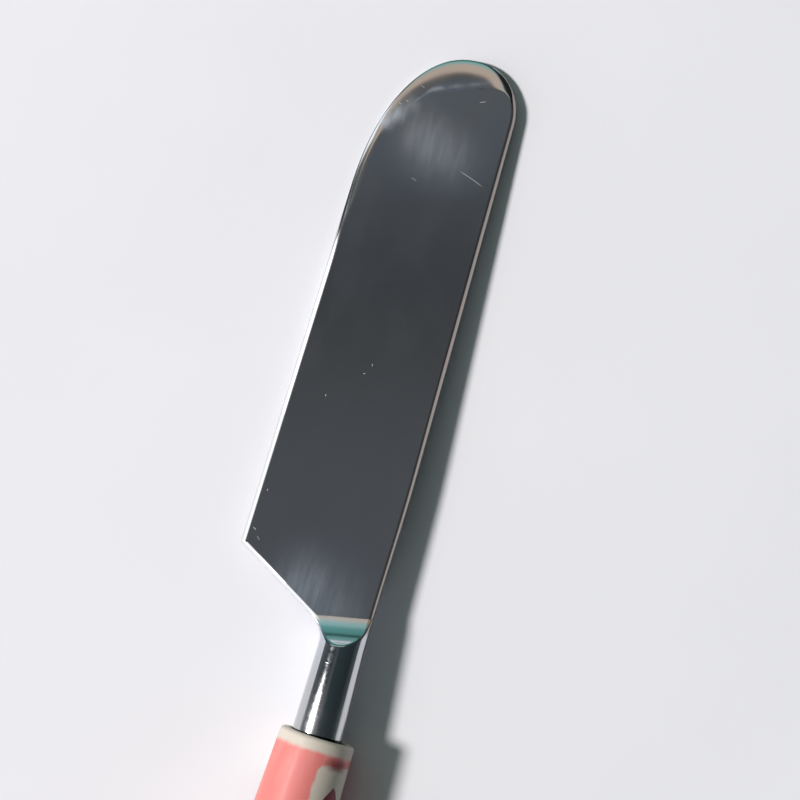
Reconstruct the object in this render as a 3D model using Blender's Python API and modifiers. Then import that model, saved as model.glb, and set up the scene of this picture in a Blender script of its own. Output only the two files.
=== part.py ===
"""Table knife with a painted ceramic handle: a steel blank, a ceramic shell and its cement core.

The knife is drawn in its own frame: the handle's mouth is at X = 0, the tip points to +X, the cutting
edge is on the +Y side and the blade's middle plane is at Z = 0. An empty then lays it down as it rests
on a table, on the handle's taper and the edge side of the blade, with the origin below its box's middle.
"""

import math

import bmesh
import bpy
from mathutils import Euler, Matrix, Vector

MM = 0.001

# Blade, in plan
BLADE_LENGTH = 76.3 * MM  # heel corner to tip
HEEL_WIDTH = 22.3 * MM  # spine to edge at the heel
FRONT_WIDTH = 20.7 * MM  # spine to edge where the tip's curve begins
SPINE_OFFSET = 3.95 * MM  # spine from the neck's axis
SPINE_EASE = 27.0 * MM  # stretch in which the spine leaves the neck's side
TIP_SWEEP = 22.6 * MM  # the tip's long curve, on the edge side
TIP_ROUND = 7.8 * MM  # the tip's short curve, on the spine side
TIP_DROP = 7.15 * MM  # foremost point of the tip from the spine
SWEEP_FULLNESS = 2.2  # exponent of the long curve; 2 is an ellipse
HEEL_ANGLE = math.radians(59.3)  # heel line from the knife's length
HEEL_FILLET = 3.7 * MM  # inside radius from the neck into the heel

# Blade, in section
SPINE_THICKNESS = 2.0 * MM
EDGE_THICKNESS = 1.0 * MM  # at the heel
TIP_THINNING = 0.7 * MM  # thickness lost from the shoulder to the tip
EDGE_ROUNDING = 0.2 * MM

# Neck and scooped shoulder
NECK_LENGTH = 13.5 * MM  # mouth of the handle to the crest of the scoop
NECK_FRONT_DIAMETER = 6.8 * MM
NECK_MOUTH_DIAMETER = 7.5 * MM
NECK_ENTRY = 2.0 * MM  # how far the full neck reaches into the mouth
SCOOP_RADIUS = 4.9 * MM
SCOOP_SKEW = math.radians(10.5)  # scoop line from square across the blade
SCOOP_SINK = 0.05 * MM  # how far the scoop dips under the blade's face
SHANK_OVERLAP = 1.0 * MM  # how far the round stock runs on into the blade
ROOT_OVERLAP = 1.6 * MM  # how far the blade's root runs back into the neck
ROOT_INSET = 0.5 * MM  # root's corners from the neck's side

# Tang
TANG_LENGTH = 50.0 * MM  # mouth to the tang's end
TANG_DIAMETER = 4.4 * MM
TANG_END_DIAMETER = 3.0 * MM
TANG_GROOVES = 3
GROOVE_DEPTH = 0.35 * MM
GROOVE_WIDTH = 3.0 * MM

# Ceramic handle
HANDLE_LENGTH = 100.0 * MM
HANDLE_FLARE = math.radians(2.25)  # half angle of the taper
BUTT_LENGTH = 24.0 * MM  # rounded stretch at the end
BUTT_FULLNESS = 2.3  # exponent of the butt's curve
MOUTH_WALL = 1.3 * MM
BUTT_WALL = 3.2 * MM
MOUTH_ROUNDING = 0.6 * MM
HANDLE_CANT = math.radians(2.6)  # lean of the handle towards the cutting edge
CANT_DEPTH = 3.5 * MM  # where the leaning axis crosses the neck's, from the mouth

# Fits
NECK_CLEARANCE = 0.34 * MM  # neck to the mouth's bore
PIECE_GAP = 0.3 * MM  # cement to the steel and to the ceramic

# Facets
ROUND_STEPS = 48
CORE_STEPS = 32
CURVE_POINTS = 14  # points on each curve of an outline or a profile
LIP_POINTS = 5
BEVEL_SEGMENTS = 2
BEVEL_ANGLE = math.radians(50)
MERGE = 0.00001
HALVINGS = 40

# Helper solids
OVERSIZE = 4.0 * MM  # how far a cutter runs past what it cuts
SIDES = (("upper", 1), ("lower", -1))

NECK_RADIUS = NECK_MOUTH_DIAMETER / 2
NECK_FRONT_RADIUS = NECK_FRONT_DIAMETER / 2
CANT_SHIFT = CANT_DEPTH * math.sin(HANDLE_CANT)
BORE_RADIUS = NECK_RADIUS + NECK_CLEARANCE + CANT_SHIFT
MOUTH_RADIUS = BORE_RADIUS + MOUTH_WALL

# Blade faces: each is a plane that falls from the spine to the edge and from the shoulder to the tip.
FACE_FALL_Y = (SPINE_THICKNESS - EDGE_THICKNESS) / 2 / HEEL_WIDTH
SHOULDER_RISE = NECK_FRONT_RADIUS - SPINE_THICKNESS / 2
SCOOP_LENGTH = math.sqrt(SCOOP_RADIUS**2 - (SCOOP_RADIUS - SHOULDER_RISE) ** 2)
SHOULDER_X = NECK_LENGTH + SCOOP_LENGTH
HEEL_ARC_END_X = NECK_LENGTH + HEEL_FILLET * math.sin(HEEL_ANGLE)
HEEL_ARC_END_Y = NECK_FRONT_RADIUS + HEEL_FILLET * (1 - math.cos(HEEL_ANGLE))
HEEL_Y = HEEL_WIDTH - SPINE_OFFSET
HEEL_X = HEEL_ARC_END_X + (HEEL_Y - HEEL_ARC_END_Y) / math.tan(HEEL_ANGLE)
TIP_X = HEEL_X + BLADE_LENGTH
FACE_FALL_X = TIP_THINNING / 2 / (TIP_X - SHOULDER_X)


def clear_scene():
    for obj in list(bpy.data.objects):
        bpy.data.objects.remove(obj, do_unlink=True)


def new_collection(name):
    collection = bpy.data.collections.new(name)
    bpy.context.scene.collection.children.link(collection)
    return collection


def new_material(name, color, metallic, roughness):
    material = bpy.data.materials.new(name)
    material.use_nodes = True
    shader = material.node_tree.nodes["Principled BSDF"]
    shader.inputs["Base Color"].default_value = (*color, 1.0)
    shader.inputs["Metallic"].default_value = metallic
    shader.inputs["Roughness"].default_value = roughness
    return material


def add_object(name, data, collection, parent):
    obj = bpy.data.objects.new(name, data)
    collection.objects.link(obj)
    obj.parent = parent
    return obj


def mark_as_helper(obj):
    obj.hide_render = True
    obj.display_type = "WIRE"


def add_boolean(obj, operation, other):
    modifier = obj.modifiers.new(f"{operation.lower()}_{other.name}", "BOOLEAN")
    modifier.operation = operation
    modifier.solver = "EXACT"
    modifier.object = other


def superellipse(share, fullness):
    """Half width left, from 1 to 0, at this share of the way along a rounded end."""
    return max(0.0, 1.0 - share**fullness) ** (1.0 / fullness)


def face_height(x, y):
    """Half the blade's thickness at a point of its plan."""
    return SPINE_THICKNESS / 2 - FACE_FALL_Y * (y + SPINE_OFFSET) - FACE_FALL_X * (x - SHOULDER_X)


def spine_y(x):
    """The spine eases out of the neck's side along a half cosine, then runs straight."""
    share = min(1.0, max(0.0, (x - NECK_LENGTH) / SPINE_EASE))
    ease = (1.0 - math.cos(math.pi * share)) / 2
    return -(NECK_FRONT_RADIUS + (SPINE_OFFSET - NECK_FRONT_RADIUS) * ease)


def edge_y(x):
    """The edge is a straight line from the heel to the start of the tip's curve."""
    share = (x - HEEL_X) / (BLADE_LENGTH - TIP_SWEEP)
    return HEEL_Y + (FRONT_WIDTH - HEEL_WIDTH) * share


def blade_outline():
    """Plan of the blade as (x, y) points, anticlockwise from its root inside the neck."""
    root_x = NECK_LENGTH - ROOT_OVERLAP
    root_y = NECK_FRONT_RADIUS - ROOT_INSET
    tip_y = TIP_DROP - SPINE_OFFSET
    points = [(root_x, root_y), (root_x, -root_y)]
    for i in range(CURVE_POINTS + 1):
        x = NECK_LENGTH + SPINE_EASE * i / CURVE_POINTS
        points.append((x, spine_y(x)))
    for i in range(CURVE_POINTS + 1):
        turn = math.pi / 2 * i / CURVE_POINTS
        points.append(
            (
                TIP_X - TIP_ROUND * (1 - math.sin(turn)),
                tip_y - TIP_DROP * math.cos(turn),
            )
        )
    for i in range(2 * CURVE_POINTS):
        along = math.cos(math.pi / 2 * (i + 1) / (2 * CURVE_POINTS))
        x = TIP_X - TIP_SWEEP * (1 - along)
        width = edge_y(x) - tip_y
        points.append((x, tip_y + width * superellipse(along, SWEEP_FULLNESS)))
    points.append((HEEL_X, HEEL_Y))
    for i in range(CURVE_POINTS + 1):
        turn = HEEL_ANGLE * (1 - i / CURVE_POINTS)
        points.append(
            (
                NECK_LENGTH + HEEL_FILLET * math.sin(turn),
                NECK_FRONT_RADIUS + HEEL_FILLET * (1 - math.cos(turn)),
            )
        )
    return points


def extruded(name, outline, half_depth, collection, parent):
    """A flat outline given a thickness both ways, as a closed mesh object."""
    curve = bpy.data.curves.new(name, "CURVE")
    curve.dimensions = "2D"
    curve.fill_mode = "BOTH"
    curve.extrude = half_depth
    spline = curve.splines.new("POLY")
    spline.points.add(len(outline) - 1)
    for point, (x, y) in zip(spline.points, outline):
        point.co = (x, y, 0.0, 1.0)
    spline.use_cyclic_u = True
    spline.use_smooth = False
    guide = add_object(f"{name}_outline", curve, collection, parent)
    graph = bpy.context.evaluated_depsgraph_get()
    mesh = bpy.data.meshes.new_from_object(guide.evaluated_get(graph))
    bpy.data.objects.remove(guide, do_unlink=True)
    shape = bmesh.new()
    shape.from_mesh(mesh)
    bmesh.ops.remove_doubles(shape, verts=shape.verts, dist=MERGE)
    bmesh.ops.recalc_face_normals(shape, faces=shape.faces)
    shape.to_mesh(mesh)
    shape.free()
    return add_object(name, mesh, collection, parent)


def turned(name, profile, steps, collection, parent):
    """A profile of (radius, z) points, from the top down its outer side, turned round local Z."""
    mesh = bpy.data.meshes.new(name)
    points = [(radius, 0.0, z) for radius, z in profile]
    mesh.from_pydata(points, [(i, i + 1) for i in range(len(points) - 1)], [])
    obj = add_object(name, mesh, collection, parent)
    screw = obj.modifiers.new("turn", "SCREW")
    screw.axis = "Z"
    screw.angle = math.tau
    screw.steps = steps
    screw.render_steps = steps
    screw.use_merge_vertices = True
    screw.merge_threshold = MERGE
    screw.use_smooth_shade = True
    return obj


def face_frame(side, skew):
    """Axes on the blade's upper (side 1) or lower (side -1) face: forward, outward and across."""
    outward = Vector((FACE_FALL_X, FACE_FALL_Y, 1.0)).normalized()
    outward.z *= side
    forward = Vector((math.cos(skew), math.sin(skew), 0.0))
    forward = (forward - outward * forward.dot(outward)).normalized()
    across = forward.cross(outward)
    axes = Matrix((forward, outward, across)).transposed().to_4x4()
    shoulder = Vector((SHOULDER_X, 0.0, side * face_height(SHOULDER_X, 0.0)))
    return Matrix.Translation(shoulder) @ axes


def add_face_cutter(name, side, collection, parent):
    """Block above or below the blade, whose inner side is the blade's face."""
    reach = 2 * (BLADE_LENGTH + HEEL_WIDTH)
    height = SPINE_THICKNESS + OVERSIZE
    outline = [(-reach, 0.0), (reach, 0.0), (reach, height), (-reach, height)]
    cutter = extruded(name, outline, reach, collection, parent)
    cutter.matrix_local = face_frame(side, 0.0)
    mark_as_helper(cutter)
    return cutter


def add_scoop_cutter(name, side, collection, parent):
    """Path of a round-nosed mill: level over the blade's face, then up in an arc out of the neck."""
    reach = SHANK_OVERLAP + NECK_FRONT_DIAMETER
    height = NECK_FRONT_RADIUS + OVERSIZE
    outline = [(reach, 0.0), (reach, height), (-SCOOP_RADIUS, height)]
    for i in range(2 * CURVE_POINTS + 1):
        turn = math.pi / 2 * (1 - i / (2 * CURVE_POINTS))
        outline.append((-SCOOP_RADIUS * math.sin(turn), SCOOP_RADIUS * (1 - math.cos(turn))))
    half_width = NECK_FRONT_DIAMETER + OVERSIZE
    cutter = extruded(name, outline, half_width, collection, parent)
    sink = Matrix.Translation(Vector((0.0, -SCOOP_SINK, 0.0)))
    cutter.matrix_local = face_frame(side, SCOOP_SKEW) @ sink
    mark_as_helper(cutter)
    return cutter


def tang_profile(margin):
    """Tang as (radius, x) points from the neck's step to its end, grown by a margin on every side."""
    start = -NECK_ENTRY
    length = TANG_LENGTH - NECK_ENTRY
    points = [(TANG_DIAMETER / 2 + margin, start)]
    pitch = length / (TANG_GROOVES + 1)
    for i in range(TANG_GROOVES):
        middle = start - pitch * (i + 1)
        for offset, depth in ((0.5, 0.0), (0.25, 1.0), (-0.25, 1.0), (-0.5, 0.0)):
            x = middle + GROOVE_WIDTH * offset
            points.append((tang_radius(x) - GROOVE_DEPTH * depth + margin, x))
    points.append((TANG_END_DIAMETER / 2 + margin, -TANG_LENGTH - margin))
    return points


def tang_radius(x):
    share = (-x - NECK_ENTRY) / (TANG_LENGTH - NECK_ENTRY)
    return (TANG_DIAMETER + (TANG_END_DIAMETER - TANG_DIAMETER) * share) / 2


def add_shank(collection, parent, cutters):
    """Round stock of the blank: neck and tang in one turned piece, scooped above and below."""
    front = SHOULDER_X + SHANK_OVERLAP
    slope = (NECK_RADIUS - NECK_FRONT_RADIUS) / NECK_LENGTH
    profile = [
        (0.0, front),
        (NECK_RADIUS - slope * front, front),
        (NECK_RADIUS, 0.0),
        (NECK_RADIUS, -NECK_ENTRY),
        *tang_profile(0.0),
        (0.0, -TANG_LENGTH),
    ]
    shank = turned("shank", profile, ROUND_STEPS, collection, parent)
    shank.rotation_euler = (0.0, math.pi / 2, 0.0)
    for cutter in cutters:
        add_boolean(shank, "DIFFERENCE", cutter)
    mark_as_helper(shank)
    return shank


def add_blank(collection, helpers, parent):
    """Blade and shank, forged as one piece of steel."""
    blank = extruded("knife_blank", blade_outline(), SPINE_THICKNESS / 2, collection, parent)
    for name, side in SIDES:
        add_boolean(blank, "DIFFERENCE", add_face_cutter(f"{name}_face", side, helpers, parent))
    bevel = blank.modifiers.new("edge_rounding", "BEVEL")
    bevel.width = EDGE_ROUNDING
    bevel.segments = BEVEL_SEGMENTS
    bevel.limit_method = "ANGLE"
    bevel.angle_limit = BEVEL_ANGLE
    scoops = [add_scoop_cutter(f"{name}_scoop", side, helpers, parent) for name, side in SIDES]
    add_boolean(blank, "UNION", add_shank(helpers, parent, scoops))
    blank.data.materials.append(new_material("polished_steel", (0.62, 0.62, 0.62), 1.0, 0.2))
    return blank


def handle_radius(depth):
    """Outer radius at a depth below the mouth: a cone that closes in a rounded butt."""
    cone = MOUTH_RADIUS + depth * math.tan(HANDLE_FLARE)
    share = max(0.0, (depth - HANDLE_LENGTH + BUTT_LENGTH) / BUTT_LENGTH)
    return cone * superellipse(min(1.0, share), BUTT_FULLNESS)


def hollow_radius(depth):
    """Inner radius at a depth: the wall thickens from the mouth to the butt."""
    floor = HANDLE_LENGTH - BUTT_WALL
    start = HANDLE_LENGTH - BUTT_LENGTH
    slope = math.tan(HANDLE_FLARE) - (BUTT_WALL - MOUTH_WALL) / start
    share = min(1.0, max(0.0, (depth - start) / (floor - start)))
    return (BORE_RADIUS + depth * slope) * superellipse(share, BUTT_FULLNESS)


def butt_depths(end):
    """Depths from the start of the butt to its end, closer together where it curves most."""
    start = HANDLE_LENGTH - BUTT_LENGTH
    turns = [math.pi / 2 * i / CURVE_POINTS for i in range(CURVE_POINTS + 1)]
    return [start + (end - start) * math.sin(turn) for turn in turns]


def add_handle(collection, parent):
    """Hollow ceramic shell, open at its mouth and closed at its butt."""
    lip = min(MOUTH_ROUNDING, MOUTH_WALL / 2)
    profile = []
    for i in range(LIP_POINTS):
        turn = math.pi / 2 * i / (LIP_POINTS - 1)
        profile.append((MOUTH_RADIUS - lip * (1 - math.sin(turn)), -lip * (1 - math.cos(turn))))
    profile += [(handle_radius(d), -d) for d in butt_depths(HANDLE_LENGTH)[:-1]]
    profile.append((0.0, -HANDLE_LENGTH))
    floor = HANDLE_LENGTH - BUTT_WALL
    profile.append((0.0, -floor))
    profile += [(hollow_radius(d), -d) for d in reversed(butt_depths(floor)[:-1])]
    profile.append((BORE_RADIUS, 0.0))
    profile.append(profile[0])
    handle = turned("ceramic_handle", profile, ROUND_STEPS, collection, parent)
    handle.data.materials.append(new_material("glazed_ceramic", (0.86, 0.42, 0.38), 0.0, 0.15))
    return handle


def add_cement(collection, helpers, parent, tang_parent):
    """Cement cast in the hollow, round the tang, recessed below the neck's end."""
    top = NECK_ENTRY + PIECE_GAP + NECK_RADIUS * math.sin(HANDLE_CANT)
    floor = HANDLE_LENGTH - BUTT_WALL - PIECE_GAP
    profile = [(0.0, -top), (hollow_radius(top) - PIECE_GAP, -top)]
    profile += [
        (hollow_radius(d + PIECE_GAP) - PIECE_GAP, -d)
        for d in butt_depths(floor)
        if hollow_radius(d + PIECE_GAP) > 2 * PIECE_GAP
    ]
    profile.append((0.0, profile[-1][1]))
    cement = turned("cement_core", profile, CORE_STEPS, collection, parent)
    cutter_profile = [(0.0, 0.0), (TANG_DIAMETER / 2 + PIECE_GAP, 0.0), *tang_profile(PIECE_GAP)]
    cutter_profile.append((0.0, -TANG_LENGTH - PIECE_GAP))
    pocket = turned("tang_pocket", cutter_profile, CORE_STEPS, helpers, tang_parent)
    pocket.rotation_euler = (0.0, math.pi / 2, 0.0)
    mark_as_helper(pocket)
    add_boolean(cement, "DIFFERENCE", pocket)
    cement.data.materials.append(new_material("cement", (0.55, 0.53, 0.5), 0.0, 0.9))
    return cement


def rest_turn(roll):
    """The turn that rolls the blade and pitches the handle's taper level with the table."""
    drop = math.sin(HANDLE_CANT) * math.sin(roll)
    reach = math.hypot(math.cos(HANDLE_CANT), drop)
    pitch = math.asin(math.sin(HANDLE_FLARE) / reach) - math.atan2(drop, math.cos(HANDLE_CANT))
    return Euler((roll, pitch, 0.0))


def rest_pose(mouth):
    """The resting turn: the blade rolls down until its lowest point is level with the taper."""
    underside = [Vector((x, y, -face_height(x, y))) - mouth for x, y in blade_outline()]
    table = -MOUTH_RADIUS / math.cos(HANDLE_FLARE)
    low, high = -math.pi / 4, 0.0
    for _ in range(HALVINGS):
        roll = (low + high) / 2
        turn = rest_turn(roll).to_matrix()
        if min((turn @ point).z for point in underside) < table:
            low = roll
        else:
            high = roll
    return rest_turn(high)


def stand_on_origin(root, nodes):
    """Moves the root so that the knife's box stands on Z = 0, centred on the origin."""
    bpy.context.view_layer.update()
    graph = bpy.context.evaluated_depsgraph_get()
    points = []
    for node in nodes:
        evaluated = node.evaluated_get(graph)
        points += [evaluated.matrix_world @ vertex.co for vertex in evaluated.data.vertices]
    lows = [min(point[axis] for point in points) for axis in range(3)]
    highs = [max(point[axis] for point in points) for axis in range(3)]
    root.location = (-(lows[0] + highs[0]) / 2, -(lows[1] + highs[1]) / 2, -lows[2])


def main():
    clear_scene()
    knife = new_collection("table_knife")
    helpers = new_collection("table_knife_cutters")

    lean = Matrix.Rotation(-HANDLE_CANT, 3, "Z")
    mouth = Vector((-CANT_DEPTH, 0.0, 0.0)) + lean @ Vector((CANT_DEPTH, 0.0, 0.0))
    root = add_object("knife_frame", None, knife, None)
    root.rotation_euler = rest_pose(mouth)
    handle_axis = add_object("handle_axis", None, knife, root)
    handle_axis.location = mouth
    handle_axis.rotation_euler = (lean @ Matrix.Rotation(math.pi / 2, 3, "Y")).to_euler()

    nodes = [
        add_blank(knife, helpers, root),
        add_handle(knife, handle_axis),
        add_cement(knife, helpers, handle_axis, root),
    ]
    stand_on_origin(root, nodes)


main()
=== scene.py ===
"""Table knife with a painted ceramic handle: the finished surfaces round its packed model.

The blank is drawn in the knife's own frame, as the packed solids are: the handle's mouth is at X = 0, the
tip points to +X, the cutting edge is on the +Y side and the blade's middle plane is at Z = 0. One turn and
one shift then lay it down as it rests.
"""

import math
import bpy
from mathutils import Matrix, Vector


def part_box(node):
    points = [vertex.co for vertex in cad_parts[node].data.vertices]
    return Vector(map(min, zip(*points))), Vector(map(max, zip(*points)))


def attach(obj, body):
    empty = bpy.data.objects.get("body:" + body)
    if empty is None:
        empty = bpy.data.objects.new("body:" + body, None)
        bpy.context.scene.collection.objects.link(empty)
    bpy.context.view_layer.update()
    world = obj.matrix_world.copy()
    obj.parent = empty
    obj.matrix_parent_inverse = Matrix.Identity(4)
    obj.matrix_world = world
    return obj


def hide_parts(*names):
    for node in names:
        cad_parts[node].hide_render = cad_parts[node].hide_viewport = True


bl_info = {
    "name": "Table knife finish",
    "version": (1, 0, 0),
    "blender": (4, 5, 0),
    "location": "3D View > Sidebar > Knife",
    "description": "Fine steel and painted ceramic surfaces for a table knife",
    "category": "Add Mesh",
}

from functools import partial

import bmesh
import bpy
import numpy as np
from bpy.props import FloatProperty, FloatVectorProperty, IntProperty, PointerProperty
from mathutils import Euler, Matrix, Vector

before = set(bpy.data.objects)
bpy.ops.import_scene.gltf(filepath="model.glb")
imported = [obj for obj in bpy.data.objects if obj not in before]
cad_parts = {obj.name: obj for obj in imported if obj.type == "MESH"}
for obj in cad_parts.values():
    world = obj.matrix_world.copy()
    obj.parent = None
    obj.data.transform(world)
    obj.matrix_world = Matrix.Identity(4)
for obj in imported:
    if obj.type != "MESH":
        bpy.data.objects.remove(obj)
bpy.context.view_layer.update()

MM = 0.001
BODY = "root"
WELD = 1e-7  # points this near each other are one point
SHARP = math.radians(35)  # edges that turn more than this are shaded sharp
SOFT = {"interpolation_type": "SMOOTHSTEP"}
MOST_OFF = 0.25 * MM  # how far a finished surface's box may be from its packed solid's


def linear(code):
    """An sRGB hex colour such as "#8899AA" as three linear values."""
    values = [int(code[i : i + 2], 16) / 255 for i in (1, 3, 5)]
    return tuple(v / 12.92 if v <= 0.04045 else ((v + 0.055) / 1.055) ** 2.4 for v in values)


def length(name, description, size):
    """A length property whose default is given in millimetres."""
    return FloatProperty(
        name=name, description=description, default=size * MM, precision=5, unit="LENGTH"
    )


def angle(name, description, degrees):
    """An angle property whose default is given in degrees."""
    return FloatProperty(
        name=name, description=description, default=math.radians(degrees), subtype="ANGLE"
    )


def number(name, description, value, top=1.0):
    """A plain number property that runs from 0 to its top."""
    return FloatProperty(name=name, description=description, default=value, min=0.0, max=top)


def colour(name, description, code):
    """A colour property whose default is an sRGB hex value."""
    return FloatVectorProperty(
        name=name, description=description, default=linear(code), size=3, subtype="COLOR"
    )


class BladeSizes(bpy.types.PropertyGroup):
    """Sizes of the blade, in plan and in section."""

    reach: length("Blade length", "Heel corner to tip", 76.3)
    heel_width: length("Heel width", "Spine to edge at the heel", 22.3)
    front_width: length("Front width", "Spine to edge where the tip's curve begins", 20.7)
    spine_offset: length("Spine offset", "Spine from the neck's axis", 3.95)
    spine_ease: length("Spine ease", "Stretch in which the spine leaves the neck's side", 27.0)
    tip_sweep: length("Tip sweep", "Long curve of the tip, on the edge side", 22.6)
    tip_round: length("Tip round", "Short curve of the tip, on the spine side", 7.8)
    tip_drop: length("Tip drop", "Foremost point of the tip from the spine", 7.15)
    sweep_fullness: number("Sweep fullness", "Exponent of the long curve", 2.2, 6.0)
    heel_angle: angle("Heel angle", "Heel line from the knife's length", 59.3)
    heel_lead: length("Heel lead", "How far the fillet starts before the crest of the scoop", 0.45)
    heel_fillet: length("Heel fillet", "Inside radius from the neck into the heel", 3.7)
    heel_corner: length("Heel corner", "Worn radius of the heel's outer corner", 0.45)
    spine_thickness: length("Spine thickness", "Thickness at the spine", 2.0)
    edge_thickness: length("Edge thickness", "Thickness at the cutting edge, at the heel", 1.0)
    tip_thinning: length("Tip thinning", "Thickness lost from the shoulder to the tip", 0.7)
    spine_rounding: length("Spine rounding", "Width of the polished round along the spine", 0.32)
    edge_rounding: length("Edge rounding", "Width of the ground round along the edge", 0.34)
    heel_rounding: length("Heel rounding", "Width of the ground round along the heel", 0.55)
    sweep_rounding: length("Sweep rounding", "Width of the buffed round where the tip's curve begins", 1.1)
    tip_rounding: length("Tip rounding", "Width of the dished margin round the tip", 3.9)
    rounding_fullness: number("Rounding fullness", "Exponent of the polished rounds", 1.18, 6.0)
    sweep_rounding_fullness: number("Sweep rounding fullness", "Exponent of the sweep's round", 1.5, 6.0)
    tip_fullness: number("Tip fullness", "Exponent of the tip's dished margin", 3.0, 6.0)
    tip_edge_fullness: number("Tip edge fullness", "The same on the edge side", 4.5, 6.0)


class ShankSizes(bpy.types.PropertyGroup):
    """Sizes of the neck, the scooped shoulder and the tang."""

    neck: length("Neck length", "Mouth of the handle to the crest of the scoop", 13.5)
    neck_front: length("Neck front diameter", "Neck's diameter at the crest", 6.8)
    neck_mouth: length("Neck mouth diameter", "Neck's diameter at the handle's mouth", 7.5)
    neck_drop: length("Neck drop", "How far the neck's top falls towards the crest", 0.1)
    neck_drop_run: length("Neck drop run", "Stretch before the crest in which it falls", 7.0)
    neck_entry: length("Neck entry", "How far the neck reaches into the mouth", 2.0)
    scoop_radius: length("Scoop radius", "Radius of the scooped shoulder", 6.15)
    scoop_length: length("Scoop length", "Crest of the scoop to the line where it ends", 4.214)
    scoop_bite: length("Scoop bite", "How far past its lowest line the scoop ends", 0.76)
    scoop_skew: angle("Scoop skew", "Scoop line from square across the blade", 10.5)
    crest_rounding: length("Crest rounding", "Height of the buffed round on the scoop's crest", 0.3)
    tang: length("Tang length", "Mouth of the handle to the tang's end", 50.0)
    tang_diameter: length("Tang diameter", "Tang's diameter at the neck", 4.4)
    tang_end: length("Tang end diameter", "Tang's diameter at its end", 3.0)
    grooves: IntProperty(name="Tang grooves", description="Grooves that key the cement", default=3)
    groove_depth: length("Groove depth", "Depth of a tang groove", 0.35)
    groove_width: length("Groove width", "Width of a tang groove", 3.0)


class HandleSizes(bpy.types.PropertyGroup):
    """Sizes of the hollow ceramic handle."""

    reach: length("Handle length", "Mouth to butt", 100.0)
    flare: angle("Flare", "Half angle of the taper", 2.25)
    butt: length("Butt length", "Rounded stretch at the end", 24.0)
    butt_fullness: number("Butt fullness", "Exponent of the butt's curve", 2.3, 6.0)
    mouth_radius: length("Mouth radius", "Outer radius at the mouth", 5.549)
    bore_radius: length("Bore radius", "Inner radius at the mouth", 4.249)
    butt_wall: length("Butt wall", "Wall thickness at the butt", 3.2)
    mouth_rounding: length("Mouth rounding", "Radius of the mouth's outer lip", 0.6)
    bore_rounding: length("Bore rounding", "Radius of the mouth's inner lip", 0.3)
    cant: angle("Cant", "Lean of the handle towards the cutting edge", 2.6)
    cant_depth: length("Cant depth", "Where the leaning axis crosses the neck's", 3.5)
    unevenness: length("Unevenness", "How far the hand-shaped wall dips", 0.12)


class PaintDesign(bpy.types.PropertyGroup):
    """Sizes and colours of the painted pattern under the glaze."""

    rim_band: length("Rim band", "Bare cream band below the mouth", 1.9)
    panel_width: length("Panel width", "Width of a cream petal", 8.2)
    panel_length: length("Panel length", "Length of a cream petal", 25.0)
    panel_start: length("Panel start", "First petal's top below the mouth", 3.2)
    panel_turn: angle("Panel turn", "First petal's place round the handle, from the top", 60.0)
    stroke_width: length("Stroke width", "Width of a crimson stroke", 5.0)
    stroke_length: length("Stroke length", "Length of a crimson stroke", 15.0)
    stroke_shift: length("Stroke shift", "Stroke's place across its petal", -0.45)
    touch_shift: length("Touch shift", "Dark touch's place across its petal", -1.1)
    touch_width: length("Touch width", "Width of a dark touch", 4.4)
    touch_height: length("Touch height", "Height of a dark touch", 2.1)
    stroke_start: length("Stroke start", "Stroke's point below its petal's top", 2.9)
    row_pitch: length("Row pitch", "Distance from one row of petals to the next", 22.0)
    rows: IntProperty(name="Rows", description="Rows of petals along the handle", default=4)
    ground: colour("Ground", "Pink slip of the ground", "#E07C76")
    cream: colour("Cream", "Bare body under clear glaze", "#CEC4B6")
    crimson: colour("Crimson", "Crimson of the strokes", "#7C0A1E")
    maroon: colour("Maroon", "Soft dark touches where strokes overlap", "#8C3033")
    body_roughness: number("Body roughness", "Roughness of the painted body", 0.6)
    glaze: number("Glaze", "Weight of the clear glaze", 0.12)
    glaze_roughness: number("Glaze roughness", "Roughness of the clear glaze", 0.2)


class SteelFinish(bpy.types.PropertyGroup):
    """Colour and polish of the steel."""

    tint: colour("Steel", "Reflection colour of stainless steel", "#CBCCCE")
    polish: number("Polish", "Roughness of the buffed faces", 0.08)
    haze: number("Haze", "Roughness of the hand-rubbed patches", 0.25)
    haze_tint: colour("Haze tint", "Reflection colour of the rubbed patches", "#D6E4F4")
    ground: number("Ground edge", "Roughness of the ground edges", 0.5)
    ground_tint: colour("Ground edge tint", "Reflection colour of the ground edges", "#EFF0F2")
    spine_tint: colour("Spine tint", "Reflection colour of the duller spine", "#A39A94")
    # Painted shade: colour of the dark ring painted on the neck at the handle's mouth.
    mouth_shade: colour("Painted mouth shade", "Painted shade where the neck enters the ceramic", "#1B1A19")
    grain: number("Grain", "Strength of the buffing lines", 0.05)
    scratch: number("Scratches", "Roughness of the scratches and nicks", 0.45)
    tip_line: number("Tip line", "Roughness of the line where the dished margin starts", 0.22)
    neck: number("Neck polish", "Roughness of the neck by the scoop", 0.075)
    neck_mouth: number("Neck mouth polish", "Roughness of the neck by the handle's mouth", 0.19)


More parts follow.
